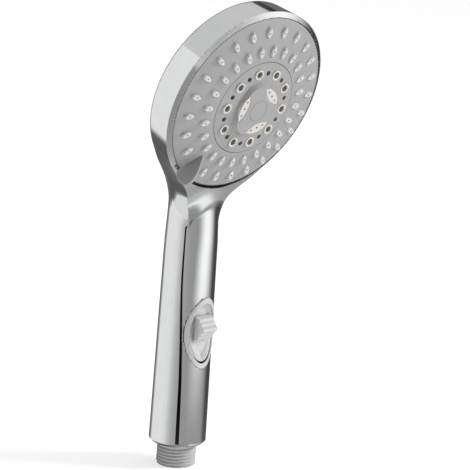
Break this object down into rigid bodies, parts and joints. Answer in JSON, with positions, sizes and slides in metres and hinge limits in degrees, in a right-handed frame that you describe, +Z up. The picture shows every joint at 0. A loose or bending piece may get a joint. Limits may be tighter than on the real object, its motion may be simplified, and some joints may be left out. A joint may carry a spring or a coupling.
{
  "type": "handheld shower head",
  "caption": "Handheld shower head: tapered round handle with a sliding flow valve, tilted round head with a lever-turned multi-pattern spray face, threaded hose spigot.",
  "frame": {"origin": "centre of the spigot's lower end face, where the hose washer seals", "axes": "+Z up the handle's axis towards the head; the spray face looks towards -Y and 18.7 degrees downwards; +X to the right as seen from the front"},
  "size_m": [0.1014, 0.065, 0.2519],
  "materials": {
    "chrome": "bright chrome plate on ABS",
    "satin_silver": "satin silver-grey spray plate",
    "satin_chrome": "light satin silver",
    "silicone": "translucent off-white silicone",
    "cream_plastic": "cream-white plastic",
    "gauze": "woven steel gauze",
    "grey_plastic": "light grey moulded plastic",
    "white_plastic": "white moulded plastic",
    "dark_plastic": "black moulded plastic",
    "seal_rubber": "black nitrile rubber",
    "steel": "stainless steel"
  },
  "bodies": {
    "handset": {"body_shell": "chrome", "inlet_spigot": "grey_plastic", "spigot_oring": "seal_rubber", "inlet_strainer": "white_plastic", "flow_regulator": "white_plastic", "regulator_oring": "seal_rubber", "valve_body": "white_plastic", "valve_inlet_oring": "seal_rubber", "valve_bezel": "satin_chrome", "water_tube": "white_plastic", "tube_orings": "seal_rubber", "manifold_base": "dark_plastic", "manifold_oring": "seal_rubber", "manifold_screws": "steel", "selector_seal": "seal_rubber", "seal_spring": "steel", "detent_spring": "steel", "thrust_washer": "steel", "centre_screw": "steel"},
    "flow_control": {"flow_slider": "satin_chrome", "valve_spool": "white_plastic", "spool_orings": "seal_rubber"},
    "spray_head": {"face_plate": "satin_silver", "nozzle_mat": "silicone", "centre_disc": "satin_silver", "aerator_rings": "cream_plastic", "aerator_screens": "gauze", "massage_inserts": "cream_plastic", "centre_cap": "satin_silver", "chamber_plate": "white_plastic", "diverter_disc": "white_plastic", "swirl_ring": "white_plastic"},
    "pulse_wheel": {"pulse_turbine": "dark_plastic"},
    "selector_detent": {"detent_pin": "steel"}
  },
  "joints": [
    {"name": "spray_select", "type": "hinge", "parent": "handset", "child": "spray_head", "pos_m": [0, -0.03295, 0.20005], "axis": [0, -0.9472, -0.3206], "range_deg": [0, 81.2]},
    {"name": "flow_slide", "type": "slide", "parent": "handset", "child": "flow_control", "axis": [0, 0, 1], "range_m": [-0.0035, 0]},
    {"name": "turbine_spin", "type": "hinge", "parent": "spray_head", "child": "pulse_wheel", "pos_m": [0, -0.03106, 0.20069], "axis": [0, -0.9472, -0.3206], "continuous": true},
    {"name": "detent_travel", "type": "slide", "parent": "handset", "child": "selector_detent", "axis": [0, -0.9472, -0.3206], "range_m": [0, 0.0005], "stiffness_N_per_m": 400, "springref_m": 0.001}
  ]
}
